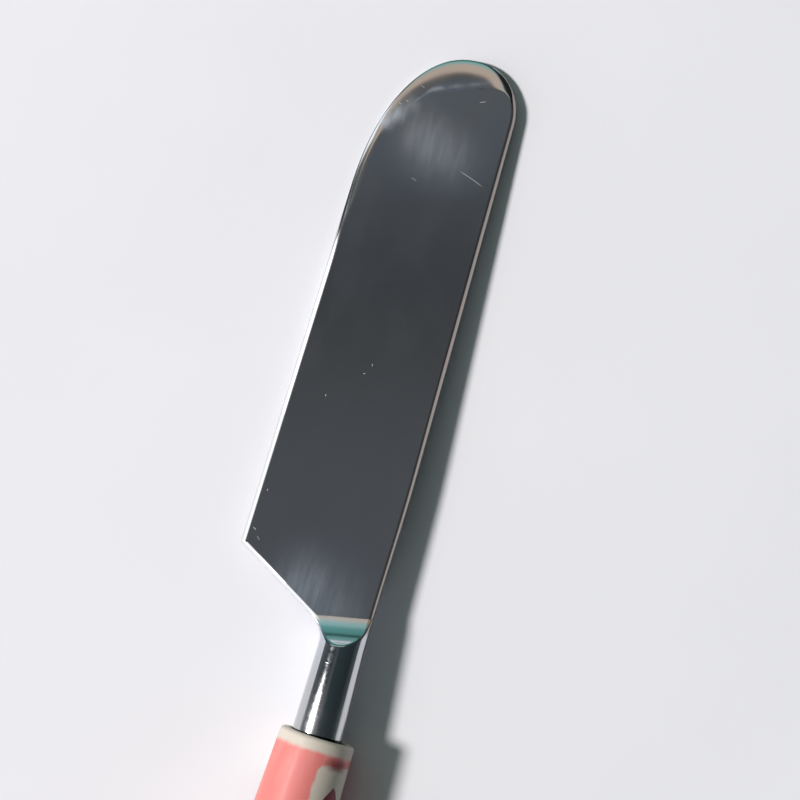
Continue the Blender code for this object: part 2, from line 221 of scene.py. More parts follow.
class StudioSetup(bpy.types.PropertyGroup):
    """Camera, floor and lights."""

    aim_along: length("Aim along", "Point looked at, along the knife from the handle's mouth", 50.0)
    aim_across: length("Aim across", "Point looked at, across the knife from the neck's axis", 1.4)
    distance: length("Distance", "Camera from the point looked at", 450.0)
    lens: number("Lens", "Focal length in millimetres", 139.3, 400.0)
    roll: angle("Roll", "The picture's up from the knife's length", 15.5)
    floor_size: length("Floor size", "Side of the square floor", 4000.0)
    floor: colour("Floor", "Pale matt floor", "#F1F0F4")
    key_power: number("Key power", "Watts of the soft key light", 66.0, 5000.0)
    key_size: length("Key size", "Diameter of the key light's disc", 400.0)
    key_distance: length("Key distance", "Key light from the knife", 2500.0)
    key_height: angle("Key height", "Key light above the floor", 46.0)
    key_turn: angle("Key turn", "Key light from the picture's left, towards its top", 6.0)
    key_colour: colour("Key colour", "Colour of the key light", "#FFFCFC")
    card_colour: colour("Card colour", "Colour of the two pale cards", "#F2F6F8")
    card_strength: number("Card strength", "Brightness of the cards, with the room's at 1", 1.7, 10.0)
    backdrop: colour("Backdrop", "Colour behind the floor, as the camera sees it", "#DADCDD")


# Scratches and nicks on the upper face: x, y, turn in degrees, length, bow per metre, width, in mm.
SCRATCHES = (
    (83.8, -0.1, -110.0, 5.4, -12.0, 0.08),
    (81.6, 8.0, -110.0, 1.3, 0.0, 0.05),
    (95.1, 1.3, -71.0, 1.3, 0.0, 0.11),
    (91.9, 13.0, -115.0, 0.7, 0.0, 0.07),
    (92.5, 12.1, -112.0, 0.7, 0.0, 0.06),
    (95.1, 10.4, -112.0, 0.9, 0.0, 0.06),
    (53.8, 6.6, 20.0, 0.5, 0.0, 0.1),
    (52.3, 7.4, -70.0, 0.5, 0.0, 0.1),
    (47.8, 12.0, 0.0, 0.45, 0.0, 0.12),
    (26.4, 16.8, -118.0, 0.8, 0.0, 0.1),
    (25.2, 15.9, -135.0, 1.0, 0.0, 0.05),
    (32.3, 16.5, 0.0, 0.4, 0.0, 0.12),
    (10.6, 1.2, -80.0, 0.5, 0.0, 0.05),
)
# Rubbed, hazy patches: middle x and y, half length, half width, in mm, and strength.
HAZE_PATCHES = (
    (86.2, 5.5, 8.0, 11.0, 0.75),
    (90.0, 9.5, 6.5, 7.0, 0.3),
    (88.7, 14.2, 2.2, 2.0, 0.9),
    (90.4, 12.8, 2.2, 2.0, 0.9),
    (92.2, 11.3, 2.0, 2.0, 0.5),
    (18.5, 5.0, 12.5, 12.0, 0.65),
    (20.5, 9.0, 8.0, 8.0, 0.25),
)
# Line where the tip's dished margin starts: a point on it in mm, and its slopes either side.
TIP_LINE = (95.1, 9.1, 0.37, 1.36)


# How the packed solids lie on the floor: turns about X, Y and Z in degrees, then a shift in mm.
REST_TURN = (-5.119, 2.48444, 0.0)
REST_SHIFT = (-0.43653324, -6.32461905, 5.53856650)


# Where the rounds change, each from and to, in mm before the tip: the sweep's buffed round, the tip's
# dished margin on the edge side and the last of it, and the margin on the spine side.
SWEEP_ROUND = (30.6, 20.8)
EDGE_DISH = (15.0, 5.0)
EDGE_DISH_END = (8.0, 1.0)
SPINE_DISH = (6.0, 0.0)
SPINE_WIDENING = 0.2 * MM  # from the shoulder to the tip


def settings(name):
    """One of this add-on's groups of sizes, by its key in GROUPS."""
    return getattr(bpy.context.scene, f"knife_{name}")


def superellipse(along, fullness):
    """Half width left, from 1 to 0, at this share of the way along a rounded end."""
    return np.maximum(0.0, 1.0 - np.clip(along, 0.0, 1.0) ** fullness) ** (1.0 / fullness)


def smooth_step(value, start, end):
    """0 before start, 1 after end, and 3t^2 - 2t^3 between."""
    t = np.clip((value - start) / (end - start), 0.0, 1.0)
    return t * t * (3.0 - 2.0 * t)


def quarter_steps(count):
    """Shares from 0 to 1, 1 - cos t for even t: closest together at 0, where a round turns steepest."""
    return 1.0 - np.cos(np.linspace(0.0, math.pi / 2, count + 1))


def lower_of(a, b, depth):
    """The smaller of two heights, rounded over where they come within depth of each other."""
    return np.minimum(a, b) - np.maximum(depth - np.abs(a - b), 0.0) ** 2 / (4.0 * depth)


def rest_placement():
    """The turn and shift that lay the knife's own frame down as the packed solids rest."""
    turn = Euler([math.radians(degrees) for degrees in REST_TURN]).to_matrix().to_4x4()
    return Matrix.Translation(Vector(REST_SHIFT) * MM) @ turn


def placed(points):
    """Points of the knife's own frame, moved to where the packed solids rest."""
    matrix = np.array(rest_placement())
    return points @ matrix[:3, :3].T + matrix[:3, 3]


class BladePlan:
    """Corner points, slopes and outlines of the blank, worked out from its sizes."""

    def __init__(self, blade, shank):
        self.blade, self.shank = blade, shank
        self.front_radius = shank.neck_front / 2
        self.mouth_radius = shank.neck_mouth / 2
        self.neck_slope = (self.mouth_radius - self.front_radius) / shank.neck
        self.shoulder_x = shank.neck + shank.scoop_length
        self.fillet_x = shank.neck - blade.heel_lead
        self.arc_end_x = self.fillet_x + blade.heel_fillet * math.sin(blade.heel_angle)
        self.arc_end_y = self.front_radius + blade.heel_fillet * (1 - math.cos(blade.heel_angle))
        self.heel_y = blade.heel_width - blade.spine_offset
        run = (self.heel_y - self.arc_end_y) / math.tan(blade.heel_angle)
        self.heel_x = self.arc_end_x + run
        self.tip_x = self.heel_x + blade.heel_lead + blade.reach
        self.tip_y = blade.tip_drop - blade.spine_offset
        self.fall_y = (blade.spine_thickness - blade.edge_thickness) / 2 / blade.heel_width
        self.fall_x = blade.tip_thinning / 2 / (self.tip_x - self.shoulder_x)
        self.edge_slope = (blade.front_width - blade.heel_width) / (blade.reach - blade.tip_sweep)
        self.corner()

    def corner(self):
        """Arc that rounds the heel's corner: where it starts and ends along X, and its centre."""
        blade = self.blade
        lean = math.atan(self.edge_slope)
        tangent = blade.heel_corner * math.tan((blade.heel_angle - lean) / 2)
        self.corner_start = self.heel_x - tangent * math.cos(blade.heel_angle)
        self.corner_end = self.heel_x + tangent * math.cos(lean)
        start_y = self.heel_y - tangent * math.sin(blade.heel_angle)
        self.corner_x = self.corner_start + blade.heel_corner * math.sin(blade.heel_angle)
        self.corner_y = start_y - blade.heel_corner * math.cos(blade.heel_angle)

    def face(self, x, y):
        """Half the blade's thickness: a plane that falls from spine to edge and from shoulder to tip."""
        fall = self.fall_y * (y + self.blade.spine_offset) + self.fall_x * (x - self.shoulder_x)
        return self.blade.spine_thickness / 2 - fall

    def neck_radius(self, x):
        return self.mouth_radius - self.neck_slope * x

    def spine(self, x):
        """Spine's y: a half cosine out of the neck's side, a line, and a quarter ellipse at the tip."""
        blade = self.blade
        ease = (1 - np.cos(np.pi * np.clip((x - self.shank.neck) / blade.spine_ease, 0, 1))) / 2
        side = self.neck_radius(np.minimum(x, self.shank.neck))
        line = -(side + (blade.spine_offset - self.front_radius) * ease)
        along = (x - self.tip_x + blade.tip_round) / blade.tip_round
        tip = self.tip_y - blade.tip_drop * superellipse(along, 2.0)
        return np.where(along > 0, tip, line)

    def edge(self, x):
        """Edge's y: the fillet's arc, the heel line, its corner's arc, a straight edge, a superellipse."""
        blade, shank = self.blade, self.shank
        across = np.clip((x - self.fillet_x) / blade.heel_fillet, 0, math.sin(blade.heel_angle))
        fillet = self.neck_radius(np.minimum(x, shank.neck))
        fillet = fillet + blade.heel_fillet * (1 - np.sqrt(1 - across**2))
        heel = self.arc_end_y + (x - self.arc_end_x) * math.tan(blade.heel_angle)
        inside = np.clip(blade.heel_corner**2 - (x - self.corner_x) ** 2, 0, None)
        corner = self.corner_y + np.sqrt(inside)
        edge = self.heel_y + self.edge_slope * (x - self.heel_x)
        along = (x - self.tip_x + blade.tip_sweep) / blade.tip_sweep
        sweep = self.tip_y + (edge - self.tip_y) * superellipse(along, blade.sweep_fullness)
        choices = [x < self.arc_end_x, x < self.corner_start, x < self.corner_end]
        return np.select(choices, [fillet, heel, corner], np.where(along > 0, sweep, edge))

    def shoulder_line(self, y):
        """X of the skewed line where the scoop runs out into the blade's face."""
        return self.shoulder_x - y * math.tan(self.shank.scoop_skew)

    def scoop_back(self, x, y):
        """Distance behind the scoop's line, square to it."""
        return (self.shoulder_line(y) - x) * math.cos(self.shank.scoop_skew)

    def scoop(self, x, y):
        """Height of the scoop: an arc that starts at its end line on the face and rises to the neck."""
        radius, bite = self.shank.scoop_radius, self.shank.scoop_bite
        back = np.clip(self.scoop_back(x, y) + bite, bite, radius)
        return self.face(x, y) + math.sqrt(radius**2 - bite**2) - np.sqrt(radius**2 - back**2)

    def body(self, x, y):
        """Height of the round neck as it flares to the blade's outline: an ellipse across each half.

        Its top falls with the square of the way along the last stretch before the crest.
        """
        half_width = np.where(y > 0, self.edge(x), -self.spine(x))
        top = self.neck_radius(x) - self.neck_fall(x, 1.3)
        return top * superellipse(np.abs(y) / half_width, 2.0)

    def neck_fall(self, x, most):
        """How far the neck's top has fallen, up to this share of the way along the stretch."""
        shank = self.shank
        return shank.neck_drop * np.clip((x - shank.neck) / shank.neck_drop_run + 1, 0, most) ** 2

    def crest(self, y):
        """X of the crest, where scoop and neck are equally high, by halving."""
        low = np.full_like(y, self.shank.neck - 1 * MM)
        high = self.shoulder_line(y)
        for _ in range(40):
            middle = (low + high) / 2
            before = self.scoop(middle, y) > self.body(middle, y)
            low, high = np.where(before, middle, low), np.where(before, high, middle)
        return (low + high) / 2

    def before_tip(self, x, stretch):
        """0 to 1 over a stretch that starts and ends at these distances in mm before the tip."""
        return smooth_step(x, self.tip_x - stretch[0] * MM, self.tip_x - stretch[1] * MM)

    def rounding(self, x, side):
        """Width and exponent of the polished round beside the spine (side 0) or the edge (side 1)."""
        blade = self.blade
        if side:
            on_heel = smooth_step(x, self.shoulder_x - 2 * MM, self.shoulder_x + MM)
            on_heel *= smooth_step(x, self.corner_start, self.corner_start - 2.5 * MM)
            width = blade.edge_rounding + (blade.heel_rounding - blade.edge_rounding) * on_heel
            sweep = self.before_tip(x, SWEEP_ROUND)
            width = width + (blade.sweep_rounding - width) * sweep
            full = blade.sweep_rounding_fullness * sweep + blade.rounding_fullness * (1 - sweep)
            last = self.before_tip(x, EDGE_DISH_END)
            tip_full = blade.tip_edge_fullness + (blade.tip_fullness - blade.tip_edge_fullness) * last
            grow = self.before_tip(x, EDGE_DISH)
        else:
            width = blade.spine_rounding + SPINE_WIDENING * smooth_step(x, self.shoulder_x, self.tip_x)
            grow = self.before_tip(x, SPINE_DISH) ** 3
            full, tip_full = blade.rounding_fullness, blade.tip_fullness
        return width + (blade.tip_rounding - width) * grow, full + (tip_full - full) * grow


BAND, FLAT, MIDDLE = 12, 9, 48  # columns across a polished round, the flat beside it, and the middle


def ring_across(spine_point, spine_in, edge_point, edge_in, widths, middle, ring_x=None):
    """Plan points of one run of rings, from the spine's outline to the edge's.

    Each ring has a polished round carried along the outline's inward normal, a flat to the start of the
    middle, the middle's own points, and the same again to the edge. The flats follow ring_x if it's given.
    """
    round_share = quarter_steps(BAND)
    flat_share = np.linspace(0, 1, FLAT + 1)[1:-1]

    def side(point, inward, width, end):
        band = point[:, None] + inward[:, None] * (width[:, None] * round_share)[..., None]
        inner = band[:, -1]
        flat = inner[:, None] + (end - inner)[:, None] * flat_share[:, None]
        if ring_x is not None:
            miss = inner[:, :1] - ring_x(inner[:, 1:])
            flat[..., 0] = ring_x(flat[..., 1]) + miss * (1 - flat_share)
        return np.concatenate([band, flat], axis=1)

    spine = side(spine_point, spine_in, widths[0], middle[:, 0])
    edge = side(edge_point, edge_in, widths[1], middle[:, -1])
    return np.concatenate([spine, middle, edge[:, ::-1]], axis=1)


def outline_normals(plan, x, side):
    """Inward normals of the spine's (side -1) or edge's (side 1) outline, from its slope close by."""
    line = plan.edge if side > 0 else plan.spine
    reach = 1e-6
    near = np.clip(x, None, plan.tip_x - 2 * reach)
    slope = (line(near + reach) - line(near - reach)) / (2 * reach)
    normal = np.stack([slope, -np.ones_like(slope)], axis=1) * side
    normal /= np.linalg.norm(normal, axis=1)[:, None]
    normal[x > plan.tip_x - 1e-9] = (-1.0, 0.0)
    return normal


def outline_ends(plan, spine_x, edge_x):
    """Points on the spine's and the edge's outline at these X, and the inward normals there."""
    ends = [
        np.stack([spine_x, plan.spine(spine_x)], axis=1),
        np.stack([edge_x, plan.edge(edge_x)], axis=1),
    ]
    return ends, [outline_normals(plan, spine_x, -1), outline_normals(plan, edge_x, 1)]


def tang_rings(plan):
    """(x, radius) of the round stock from the tang's end to the neck: a taper less its grooves."""
    shank = plan.shank
    start, end = -shank.neck_entry, -shank.tang
    x = np.linspace(end + 0.5 * MM, start - 0.05 * MM, 150)
    along = (start - x) / (start - end)
    radius = (shank.tang_diameter + (shank.tang_end - shank.tang_diameter) * along) / 2
    pitch = (start - end) / (shank.grooves + 1)
    middles = start - pitch * (np.arange(shank.grooves) + 1)
    off = np.abs(x[:, None] - middles).min(axis=1) / shank.groove_width
    radius = radius - shank.groove_depth * smooth_step(-off, -0.5, -0.25)
    last = shank.tang_end / 2
    head = [
        (end, 0.0),
        (end, last - 0.4 * MM),
        (end + 0.12 * MM, last - 0.12 * MM),
        (end + 0.4 * MM, last),
    ]
    root = plan.neck_radius(start)
    step = [
        (start, shank.tang_diameter / 2),
        (start, root - 0.2 * MM),
        (start + 0.06 * MM, root - 0.06 * MM),
        (start + 0.2 * MM, root),
    ]
    return np.concatenate([head, np.stack([x, radius], axis=1), step])


def blank_rings(plan):
    """Plan points (rings, columns, 2) and heights (rings, columns) of the blank's upper half."""
    shank = plan.shank
    lean = math.acos(plan.blade.spine_thickness / 2 / plan.front_radius)
    turns = np.linspace(-lean, lean, MIDDLE + 1)
    neck_start = shank.neck - 0.6 * MM

    # Round stock: the middle is an arc of the circle, and the outline its side.
    tang = tang_rings(plan)
    neck_x = np.linspace(0.4 * MM - shank.neck_entry, neck_start, 30)
    stock = np.concatenate([tang, np.stack([neck_x, plan.neck_radius(neck_x)], axis=1)])
    x, radius = stock[:, 0], stock[:, 1]
    middle = np.stack(np.broadcast_arrays(x[:, None], radius[:, None] * np.sin(turns)), axis=2)
    ends = [np.stack([x, side * radius], axis=1) for side in (-1, 1)]
    inward = [np.tile((0.0, -side), (len(x), 1)) for side in (-1, 1)]
    width = 0.6 * radius * (1 - math.sin(lean))
    stock_plan = ring_across(ends[0], inward[0], ends[1], inward[1], (width, width), middle)
    stock_height = np.sqrt(np.maximum(radius[:, None] ** 2 - stock_plan[..., 1] ** 2, 0.0))
    stock_height *= 1 - (plan.neck_fall(x, 1) / np.maximum(radius, MM))[:, None]

    # Shoulder: rings bend from straight across to the crest's curve, then to the scoop's skewed line.
    rounding = np.array([0.02, 0.045, 0.08, 0.13, 0.2]) * MM
    before = 1 - (1 - np.linspace(0, 1, 40)[1:]) ** 1.5
    after = np.linspace(0, 1, 40)[1:] ** 1.3
    run_out = 0.7 * MM
    first, last = -rounding[-1], rounding[-1]
    bend = [(u, 0.0, first * u) for u in before]
    bend += [(1.0, 0.0, offset) for offset in (*-rounding[-2::-1], 0.0, *rounding)]
    bend += [(1.0, v, last * (1 - v) + run_out * v) for v in after]
    to_crest, to_line, offset = np.array(bend).T[..., None]

    def ring_x(y):
        line = plan.shoulder_line(y)
        crest = np.minimum(plan.crest(y), line)
        bent = neck_start * (1 - to_crest) + crest * to_crest
        return bent * (1 - to_line) + line * to_line + offset

    side_y = [np.full((len(bend), 1), side * plan.front_radius) for side in (-1, 1)]
    for _ in range(30):
        side_x = [ring_x(y) for y in side_y]
        side_y = [plan.spine(side_x[0]), plan.edge(side_x[1])]
    spine_x, edge_x = side_x[0][:, 0], side_x[1][:, 0]
    ends, inward = outline_ends(plan, spine_x, edge_x)
    middle_radius = plan.neck_radius((spine_x + edge_x) / 2)[:, None]
    middle_y = middle_radius * np.sin(turns)
    middle = np.stack([ring_x(middle_y), middle_y], axis=2)
    widths = [
        np.minimum(plan.rounding(spine_x, 0)[0], 0.6 * (np.abs(ends[0][:, 1]) + middle_y[:, 0])),
        np.minimum(plan.rounding(edge_x, 1)[0], 0.6 * (ends[1][:, 1] - middle_y[:, -1])),
    ]
    shoulder_plan = ring_across(ends[0], inward[0], ends[1], inward[1], widths, middle, ring_x)
    shoulder = (ends, inward)

    # Blade: straight rings, skewed at first, evenly spread, and closest at the heel's corner and the tip.
    heel_rings = np.linspace(edge_x[-1], plan.corner_start, 30)[1:-1]
    corner_rings = np.linspace(plan.corner_start, plan.corner_end, 12)
    edge_rings = np.linspace(plan.corner_end, plan.tip_x - plan.blade.tip_sweep, 60)[1:]
    sweep = np.sin(np.linspace(0, math.pi / 2, 70))[1:]
    tip_rings = plan.tip_x - plan.blade.tip_sweep * (1 - sweep)
    edge_x = np.concatenate([heel_rings, corner_rings, edge_rings, tip_rings])
    settle = smooth_step(edge_x, shoulder[0][1][-1, 0], plan.corner_end + 4 * MM)
    spine_x = edge_x + (shoulder[0][0][-1, 0] - shoulder[0][1][-1, 0]) * (1 - settle)
    ends, inward = outline_ends(plan, spine_x, edge_x)
    widths = [plan.rounding(spine_x, 0)[0], plan.rounding(edge_x, 1)[0]]
    inner = [ends[i] + inward[i] * widths[i][:, None] for i in (0, 1)]
    old = shoulder_plan[-1]
    reach = old[BAND + FLAT + MIDDLE + FLAT, 1] - old[BAND, 1]
    old_shares = (old[BAND + FLAT : BAND + FLAT + MIDDLE + 1, 1] - old[BAND, 1]) / reach
    new_shares = (FLAT + np.arange(MIDDLE + 1)) / (2 * FLAT + MIDDLE)
    spread = smooth_step(edge_x, shoulder[0][1][-1, 0], plan.corner_end + 8 * MM)[:, None]
    shares = old_shares * (1 - spread) + new_shares * spread
    middle = inner[0][:, None] + (inner[1] - inner[0])[:, None] * shares[..., None]
    blade_plan = ring_across(ends[0], inward[0], ends[1], inward[1], widths, middle)

    # Heights: the flared neck cut by the scoop, then the plate, whose outline is rounded over.
    plate_plan = np.concatenate([shoulder_plan, blade_plan])
    x, y = plate_plan[..., 0], plate_plan[..., 1]
    plate, margin = plan.face(x, y), np.full(x.shape, np.inf)
    for i in (0, 1):
        end = np.concatenate([shoulder[0][i], ends[i]])
        normal = np.concatenate([shoulder[1][i], inward[i]])
        in_from = ((plate_plan - end[:, None]) * normal[:, None]).sum(axis=2)
        margin = np.minimum(margin, in_from)
        width, fullness = (value[:, None] for value in plan.rounding(end[:, 0], i))
        past = np.clip(1 - in_from / width, 0, 1)
        plate = np.minimum(plate, plan.face(x, y) * superellipse(past, fullness))
    flared = np.maximum(plan.body(x, y), np.where(x > shank.neck, plate, 0.0))
    cut = lower_of(flared, plan.scoop(x, y), shank.crest_rounding)
    fade = smooth_step(plan.scoop_back(x, y), 0.0, 0.2 * MM)
    height = np.where(plan.scoop_back(x, y) > 0, plate + (cut - plate) * fade, plate)
    outline = np.zeros(height.shape, bool)
    outline[:, [0, -1]] = True
    height = np.where(outline, 0.0, np.maximum(height, 0.0))
    margin = np.concatenate([np.zeros(stock_height.shape), margin])
    return np.concatenate([stock_plan, plate_plan]), np.concatenate([stock_height, height]), margin


def closed_mesh(name, points, faces, layers):
    """A mesh from whole arrays, with coincident points welded and faces turned outwards."""
    mesh = bpy.data.meshes.new(name)
    mesh.from_pydata(points, [], faces)
    for layer, values in layers.items():
        attribute = mesh.attributes.new(layer, "FLOAT", "POINT")
        attribute.data.foreach_set("value", np.ascontiguousarray(values, np.float32))
    shape = bmesh.new()
    shape.from_mesh(mesh)
    bmesh.ops.remove_doubles(shape, verts=shape.verts, dist=WELD)
    bmesh.ops.recalc_face_normals(shape, faces=shape.faces)
    shape.to_mesh(mesh)
    shape.free()
    mesh.polygons.foreach_set("use_smooth", np.ones(len(mesh.polygons), bool))
    mesh.update()
    return mesh


def grid_faces(rows, columns, wrapped):
    """Quads between neighbouring rows and columns of a grid; wrapped joins the last column to the first."""
    row = np.arange(rows - 1)[:, None]
    column = np.arange(columns if wrapped else columns - 1)[None]
    following = (column + 1) % columns
    corners = (row * columns + column, (row + 1) * columns + column)
    corners += ((row + 1) * columns + following, row * columns + following)
    return np.stack(corners, axis=-1).reshape(-1, 4)


def add_piece(name, mesh, replaced, material):
    """Puts a finished mesh in the scene in place of a packed solid."""
    piece = bpy.data.objects.new(name, mesh)
    bpy.context.scene.collection.objects.link(piece)
    mesh.materials.append(material)
    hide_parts(replaced)
    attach(piece, BODY)
    return piece


def check_against_solid(piece, node):
    """Stops if a fine surface's box isn't where its packed solid's is."""
    low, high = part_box(node)
    corners = np.array([piece.matrix_world @ Vector(corner) for corner in piece.bound_box])
    off = max(np.abs(corners.min(axis=0) - low).max(), np.abs(corners.max(axis=0) - high).max())
    print(f"{piece.name}: {off / MM:.3f} mm from its solid's box")
    if off > MOST_OFF:
        raise RuntimeError(f"{piece.name} is {off / MM:.2f} mm away from {node}")


def handle_profile(handle):
    """(radius, depth, 1 if outside) from the butt's outside to the mouth, over its lip and down the hollow.

    A cone closed by a superellipse, inside and outside; the wall thickens from the mouth to the butt.
    """

    def outer(depth):
        along = (depth - handle.reach + handle.butt) / handle.butt
        return (handle.mouth_radius + depth * math.tan(handle.flare)) * superellipse(
            along, handle.butt_fullness
        )

    floor, start = handle.reach - handle.butt_wall, handle.reach - handle.butt
    wall = handle.mouth_radius - handle.bore_radius
    slope = math.tan(handle.flare) - (handle.butt_wall - wall) / start

    def inner(depth):
        along = (depth - start) / (floor - start)
        return (handle.bore_radius + depth * slope) * superellipse(along, handle.butt_fullness)

    def down(end, count):
        return start + (end - start) * np.sin(np.linspace(0, math.pi / 2, count))

    lip, bore_lip = handle.mouth_rounding, handle.bore_rounding
    turn = np.linspace(0, math.pi / 2, 9)
    body = np.linspace(start, lip, 190)
    lip_depth = lip * (1 - np.sin(turn[1:]))
    lip_radius = outer(lip_depth) - lip * (1 - np.cos(turn[1:]))
    hollow = np.linspace(bore_lip, start, 60)
    outside = np.concatenate([down(handle.reach, 44)[::-1][:-1], body])
    inner_lip_depth = bore_lip * (1 - np.cos(turn[:-1]))
    inner_lip_radius = handle.bore_radius + bore_lip * (1 - np.sin(turn[:-1]))
    inside = np.concatenate([hollow, down(floor, 26)[1:]])
    radius = np.concatenate([outer(outside), lip_radius, inner_lip_radius, inner(inside)])
    depth = np.concatenate([outside, lip_depth, inner_lip_depth, inside])
    counts = (len(outside) + len(lip_depth), len(inner_lip_depth) + len(inside))
    surface = np.repeat((1.0, 0.0), counts)
    return radius, depth, surface


def handle_axes(handle):
    """Mouth's centre, axis from butt to mouth, and the two directions across it: edge side and up."""
    axis = np.array([math.cos(handle.cant), -math.sin(handle.cant), 0.0])
    mouth = np.array([-handle.cant_depth, 0.0, 0.0]) + handle.cant_depth * axis
    across = np.array([math.sin(handle.cant), math.cos(handle.cant), 0.0])
    return mouth, axis, across, np.array([0.0, 0.0, 1.0])


def hand_shaped(depth, turn, amount):
    """How far the wall dips inwards: three slow waves round and along, each between 0 and 1."""
    waves = (
        np.sin(2 * turn + depth / (17 * MM)),
        np.sin(3 * turn - depth / (9 * MM) + 1.3),
        np.sin(turn + depth / (26 * MM) + 2.1),
    )
    return amount * (sum(waves) / 3 + 1) / 2 * smooth_step(depth, 0, 20 * MM)


def motif_outline(width, reach, top_share, top_fullness, point_fullness):
    """Right half of a petal as (half width, depth): a rounded or pointed top, then a taper to a point."""
    along = np.linspace(0, 1, 160)
    top = superellipse(1 - np.clip(along / top_share, 0, 1), top_fullness)
    taper = 1 - np.clip((along - top_share) / (1 - top_share), 0, 1) ** point_fullness
    return width / 2 * top * np.maximum(taper, 0), along * reach


def inside_distance(across, depth, half_width, outline_depth):
    """Distance in from a petal's outline, in metres and negative outside, to its nearest point."""
    inside = np.interp(depth, outline_depth, half_width, left=-1, right=-1) > np.abs(across)
    points = np.stack([np.abs(across), depth], axis=-1)
    near = np.full(across.shape, np.inf)
    for x, y in zip(half_width, outline_depth):
        near = np.minimum(near, (points[..., 0] - x) ** 2 + (points[..., 1] - y) ** 2)
    return np.sqrt(near) * np.where(inside, 1, -1)


def painted_pattern(handle, paint, depth, turn):
    """Distance in from the nearest cream petal's outline, crimson stroke's and maroon touch's."""
    petal = motif_outline(paint.panel_width, paint.panel_length, 0.06, 3.5, 3.5)
    stroke = motif_outline(paint.stroke_width, paint.stroke_length, 0.3, 1.25, 2.0)
    layers = {name: np.full(depth.shape, -1.0) for name in ("cream_in", "crimson_in", "maroon_in")}
    radius = handle.mouth_radius + depth * math.tan(handle.flare)
    for row in range(paint.rows):
        start = paint.panel_start + paint.row_pitch * row
        for half in range(2):
            place = paint.panel_turn + math.pi * half + math.pi / 2 * row
            across = ((turn - place + math.pi) % (2 * math.pi) - math.pi) * radius
            touch = np.hypot(
                (across - paint.touch_shift) * 2 / paint.touch_width,
                (depth - start + 0.2 * MM) * 2 / paint.touch_height,
            )
            found = {
                "cream_in": inside_distance(across, depth - start, *petal),
                "crimson_in": inside_distance(
                    across - paint.stroke_shift, depth - start - paint.stroke_start, *stroke
                ),
                "maroon_in": (1 - touch) * MM,
            }
            layers = {name: np.maximum(layers[name], found[name]) for name in layers}
    return layers


def fill(tree, node, values):
    """Sets a node's inputs: constants as they are, and a link from an output or a node's first output."""
    for key, value in values.items():
        if isinstance(value, bpy.types.Node):
            value = next(output for output in value.outputs if output.enabled)
        if isinstance(value, bpy.types.NodeSocket):
            tree.links.new(value, node.inputs[key])
        else:
            node.inputs[key].default_value = value


def add(tree, kind, values, stops=(), **properties):
    """Adds a node with its properties, its inputs and, for a ramp, its (position, linear colour) stops."""
    node = tree.nodes.new("ShaderNode" + kind)
    for name, value in properties.items():
        setattr(node, name, value)
    fill(tree, node, values)
    for _ in stops[2:]:
        node.color_ramp.elements.new(1.0)
    for element, (position, value) in zip(node.color_ramp.elements if stops else (), stops):
        element.position, element.color = position, (*value, 1.0)
    return node


def new_material(name):
    """An empty Principled material, its shader node and its node adder."""
    material = bpy.data.materials.new(name)
    material.use_nodes = True
    tree = material.node_tree
    return material, partial(fill, tree, tree.nodes["Principled BSDF"]), partial(add, tree)


def knife_coordinates(node):
    """Object coordinates turned back into the knife's own frame, in metres."""
    place = rest_placement().inverted()
    where = node("TexCoord", {}).outputs["Object"]
    values = {"Vector": where, "Location": place.translation, "Rotation": tuple(place.to_euler())}
    return node("Mapping", values, vector_type="POINT")


def scratch_cover(node, place):
    """1 in each scratch and 0 outside: distance from a short bowed line, in the knife's own frame."""
    cover = 0.0
    for x, y, degrees, reach, bow, width in SCRATCHES:
        turn = (0.0, 0.0, math.radians(degrees))
        values = {"Vector": place, "Location": (x * MM, y * MM, 0.0), "Rotation": turn}
        local = node("Mapping", values, vector_type="TEXTURE")
        along, across, _ = node("SeparateXYZ", {0: local}).outputs
        square = node("Math", {0: along, 1: along}, operation="MULTIPLY")
        line = node("Math", {0: square, 1: bow}, operation="MULTIPLY")
        off = node("Math", {0: across, 1: line}, operation="SUBTRACT")
        off = node("Math", {0: off}, operation="ABSOLUTE")
        beside = node("MapRange", {0: off, 1: width * MM, 2: 0.0})
        past = node("Math", {0: along}, operation="ABSOLUTE")
        end = node("MapRange", {0: past, 1: reach * MM / 2, 2: reach * MM / 4})
        one = node("Math", {0: beside, 1: end}, operation="MULTIPLY")
        cover = node("Math", {0: one, 1: cover}, operation="MAXIMUM")
    return cover


def patch_cover(node, along, across, patches):
    """Sum of soft oval patches, each its strength in the middle and 0 outside."""
    cover = 0.0
    for x, y, reach, width, strength in patches:
        u = node("MapRange", {0: along, 1: x * MM, 2: (x + reach) * MM}, clamp=False)
        v = node("MapRange", {0: across, 1: y * MM, 2: (y + width) * MM}, clamp=False)
        away = node("VectorMath", {0: node("CombineXYZ", {0: u, 1: v})}, operation="LENGTH")
        values = {0: away.outputs["Value"], 1: 1.0, 2: 0.0, 3: 0.0, 4: strength}
        soft = node("MapRange", values, **SOFT)
        cover = node("Math", {0: soft, 1: cover}, operation="ADD")
    return cover


